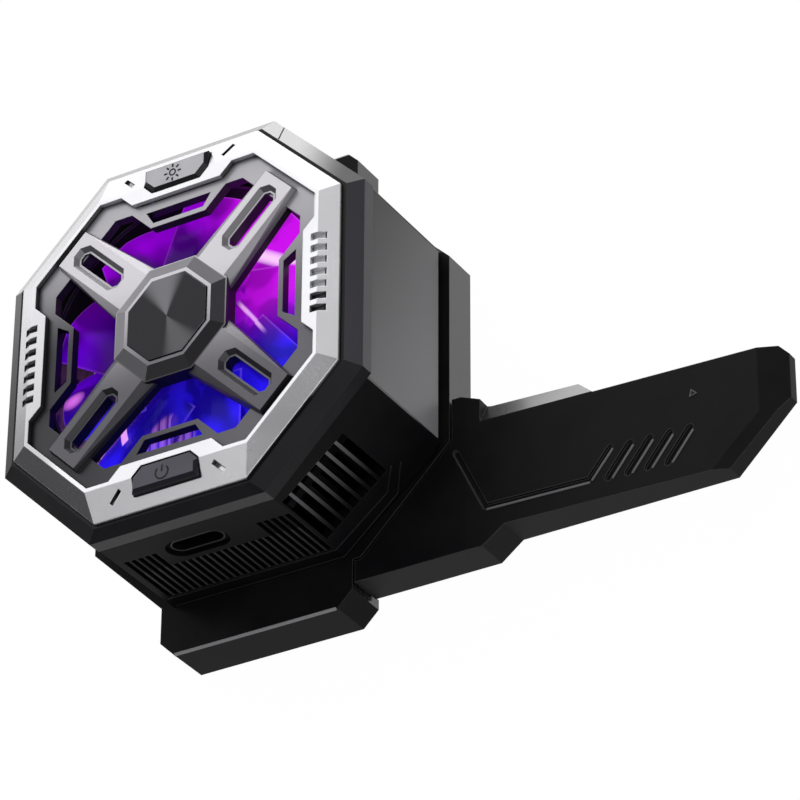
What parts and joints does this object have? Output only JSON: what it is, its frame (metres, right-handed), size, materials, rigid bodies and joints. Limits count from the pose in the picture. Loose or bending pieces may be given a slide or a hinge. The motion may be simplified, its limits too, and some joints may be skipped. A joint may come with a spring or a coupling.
{
  "type": "phone cooling fan",
  "caption": "Clip-on phone cooler: a lit fan behind an octagonal grille and silver bezel, with a cold plate, a sprung jaw, a pull-out side arm and buttons.",
  "frame": {"origin": "middle of the cold face, the silicone pad that lies on the phone, on the fan's axis", "axes": "+Z out of the cold face towards the fan grille, +X towards the pull-out arm, +Y towards the sprung jaw and the light button"},
  "size_m": [0.1151, 0.0802, 0.0415],
  "materials": {
    "base_black": "black satin plastic",
    "silicone": "dark grey silicone",
    "steel": "bright steel",
    "arm_black": "black satin plastic",
    "thermal_silicone": "grey silicone pad",
    "cold_aluminium": "satin aluminium",
    "ceramic": "white ceramic",
    "foam": "black closed-cell foam",
    "sink_aluminium": "bare aluminium fins",
    "screw_steel": "zinc-plated steel",
    "body_black": "black satin plastic",
    "panel_grey": "dark grey satin panel",
    "socket_steel": "bright steel shell",
    "board_green": "green circuit board",
    "frame_black": "black plastic",
    "bearing_brass": "sintered brass",
    "core_steel": "laminated steel",
    "coil_copper": "enamelled copper wire",
    "rotor_clear": "translucent plastic lit purple and blue",
    "magnet_grey": "ferrite",
    "light_board": "ring board with purple light chips",
    "rim_black": "black satin plastic",
    "gunmetal": "gunmetal satin coat",
    "hub_metal": "dark spun metal",
    "silver": "satin silver coat",
    "button_light": "grey satin coat",
    "button_dark": "dark grey satin coat"
  },
  "bodies": {
    "housing": {"base_plate": "base_black", "lower_jaw_pad": "silicone", "jaw_springs": "steel", "arm_stop_pin": "steel", "thermal_pad": "thermal_silicone", "cold_plate": "cold_aluminium", "cooling_module": "ceramic", "foam_gasket": "foam", "heat_sink": "sink_aluminium", "base_screws": "screw_steel", "body_shell": "body_black", "right_side_panel": "panel_grey", "left_side_panel": "panel_grey", "usb_c_socket": "socket_steel", "control_board": "board_green", "switch_boards": "board_green", "fan_frame": "frame_black", "fan_screws": "screw_steel", "fan_bearing": "bearing_brass", "stator_core": "core_steel", "stator_coils": "coil_copper", "light_ring": "light_board", "front_shell": "rim_black", "grille": "gunmetal", "hub_cap": "hub_metal", "bezel": "silver"},
    "jaw": {"upper_jaw": "base_black", "upper_jaw_pad": "silicone"},
    "arm": {"side_arm": "arm_black", "arm_pad": "silicone"},
    "fan": {"fan_rotor": "rotor_clear", "rotor_magnet": "magnet_grey", "fan_shaft": "steel"},
    "light_key": {"light_button": "button_light"},
    "power_key": {"power_button": "button_dark"}
  },
  "joints": [
    {"name": "jaw_slide", "type": "slide", "parent": "housing", "child": "jaw", "axis": [0, 1, 0], "range_m": [0, 0.011], "stiffness_N_per_m": 400, "springref_m": -0.004, "deforming": ["jaw_springs"]},
    {"name": "arm_slide", "type": "slide", "parent": "housing", "child": "arm", "axis": [1, 0, 0], "range_m": [0, 0.016]},
    {"name": "fan_spin", "type": "hinge", "parent": "housing", "child": "fan", "pos_m": [0, 0, 0.0255], "axis": [0, 0, 1], "continuous": true},
    {"name": "light_press", "type": "slide", "parent": "housing", "child": "light_key", "axis": [0, 0, -1], "range_m": [0, 0.0006], "stiffness_N_per_m": 1000, "springref_m": -0.0003},
    {"name": "power_press", "type": "slide", "parent": "housing", "child": "power_key", "axis": [0, 0, -1], "range_m": [0, 0.0006], "stiffness_N_per_m": 1000, "springref_m": -0.0003}
  ]
}
